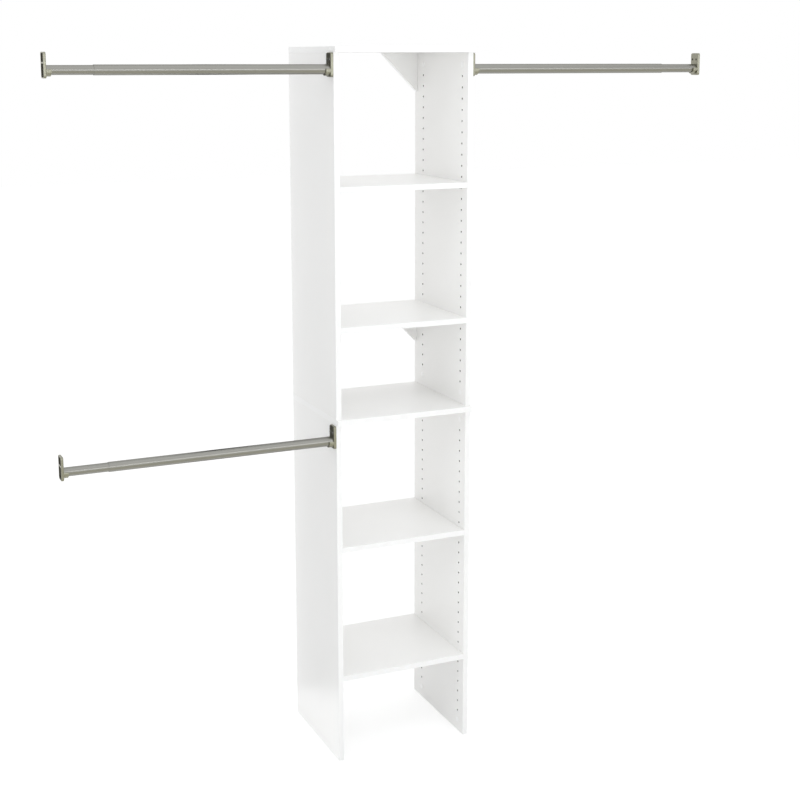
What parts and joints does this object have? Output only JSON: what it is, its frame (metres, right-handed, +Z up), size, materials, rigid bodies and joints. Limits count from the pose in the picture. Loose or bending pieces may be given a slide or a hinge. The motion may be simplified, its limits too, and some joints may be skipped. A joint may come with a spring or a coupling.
{
  "type": "closet tower with hang rods",
  "caption": "White laminate closet tower with open shelves, pin holes for adjustable shelves, and telescoping hang rods that reach the walls on either side.",
  "frame": {"origin": "on the floor, under the middle of the whole assembly's box", "axes": "+X to the right as seen from the room, +Y towards the wall behind (the open front faces -Y), +Z up"},
  "size_m": [1.9826, 0.3714, 2.0901],
  "materials": {
    "white_laminate": "white melamine laminate on particle board, satin, with white edge banding",
    "rod_nickel": "satin nickel plating on thin steel tube",
    "flange_cast_metal": "satin nickel on die-cast metal, slightly yellow",
    "cam_white": "white enamel on a die-cast cam lock",
    "fixing_steel": "zinc-plated steel"
  },
  "bodies": {
    "tower": {"top_panel": "white_laminate", "middle_panel": "white_laminate", "upper_left_side": "white_laminate", "upper_right_side": "white_laminate", "lower_left_side": "white_laminate", "lower_right_side": "white_laminate", "upper_fixed_shelf": "white_laminate", "lower_fixed_shelf": "white_laminate", "top_gusset": "white_laminate", "shelf_gusset": "white_laminate", "upper_left_outer_tube": "rod_nickel", "lower_left_outer_tube": "rod_nickel", "upper_right_outer_tube": "rod_nickel", "upper_left_tower_flange": "flange_cast_metal", "lower_left_tower_flange": "flange_cast_metal", "upper_right_tower_flange": "flange_cast_metal", "upper_left_front_flange_screw": "fixing_steel", "upper_left_rear_flange_screw": "fixing_steel", "lower_left_front_flange_screw": "fixing_steel", "lower_left_rear_flange_screw": "fixing_steel", "upper_right_front_flange_screw": "fixing_steel", "upper_right_rear_flange_screw": "fixing_steel", "upper_left_front_shelf_pin": "fixing_steel", "upper_left_rear_shelf_pin": "fixing_steel", "upper_right_front_shelf_pin": "fixing_steel", "upper_right_rear_shelf_pin": "fixing_steel", "lower_left_front_shelf_pin": "fixing_steel", "lower_left_rear_shelf_pin": "fixing_steel", "lower_right_front_shelf_pin": "fixing_steel", "lower_right_rear_shelf_pin": "fixing_steel", "upper_left_top_front_cam": "cam_white", "upper_left_top_rear_cam": "cam_white", "upper_right_top_front_cam": "cam_white", "upper_right_top_rear_cam": "cam_white", "upper_left_bottom_front_cam": "cam_white", "upper_left_bottom_rear_cam": "cam_white", "upper_right_bottom_front_cam": "cam_white", "upper_right_bottom_rear_cam": "cam_white", "lower_left_top_front_cam": "cam_white", "lower_left_top_rear_cam": "cam_white", "lower_right_top_front_cam": "cam_white", "lower_right_top_rear_cam": "cam_white", "top_left_front_bolt": "fixing_steel", "top_left_rear_bolt": "fixing_steel", "top_right_front_bolt": "fixing_steel", "top_right_rear_bolt": "fixing_steel", "middle_left_front_bolt": "fixing_steel", "middle_left_rear_bolt": "fixing_steel", "middle_right_front_bolt": "fixing_steel", "middle_right_rear_bolt": "fixing_steel"},
    "upper_shelf": {"upper_loose_shelf": "white_laminate"},
    "lower_shelf": {"lower_loose_shelf": "white_laminate"},
    "upper_left_slide": {"upper_left_inner_tube": "rod_nickel", "upper_left_wall_flange": "flange_cast_metal"},
    "lower_left_slide": {"lower_left_inner_tube": "rod_nickel", "lower_left_wall_flange": "flange_cast_metal"},
    "upper_right_slide": {"upper_right_inner_tube": "rod_nickel", "upper_right_wall_flange": "flange_cast_metal"}
  },
  "joints": [
    {"name": "upper_left_rod_telescope", "type": "slide", "parent": "tower", "child": "upper_left_slide", "axis": [-1, 0, 0], "range_m": [-0.105, 0.39]},
    {"name": "lower_left_rod_telescope", "type": "slide", "parent": "tower", "child": "lower_left_slide", "axis": [-1, 0, 0], "range_m": [-0.105, 0.39]},
    {"name": "upper_right_rod_telescope", "type": "slide", "parent": "tower", "child": "upper_right_slide", "axis": [1, 0, 0], "range_m": [-0.105, 0.39]},
    {"name": "upper_loose_shelf_pull", "type": "slide", "parent": "tower", "child": "upper_shelf", "axis": [0, -1, 0], "range_m": [0, 0.14]},
    {"name": "lower_loose_shelf_pull", "type": "slide", "parent": "tower", "child": "lower_shelf", "axis": [0, -1, 0], "range_m": [0, 0.14]}
  ]
}
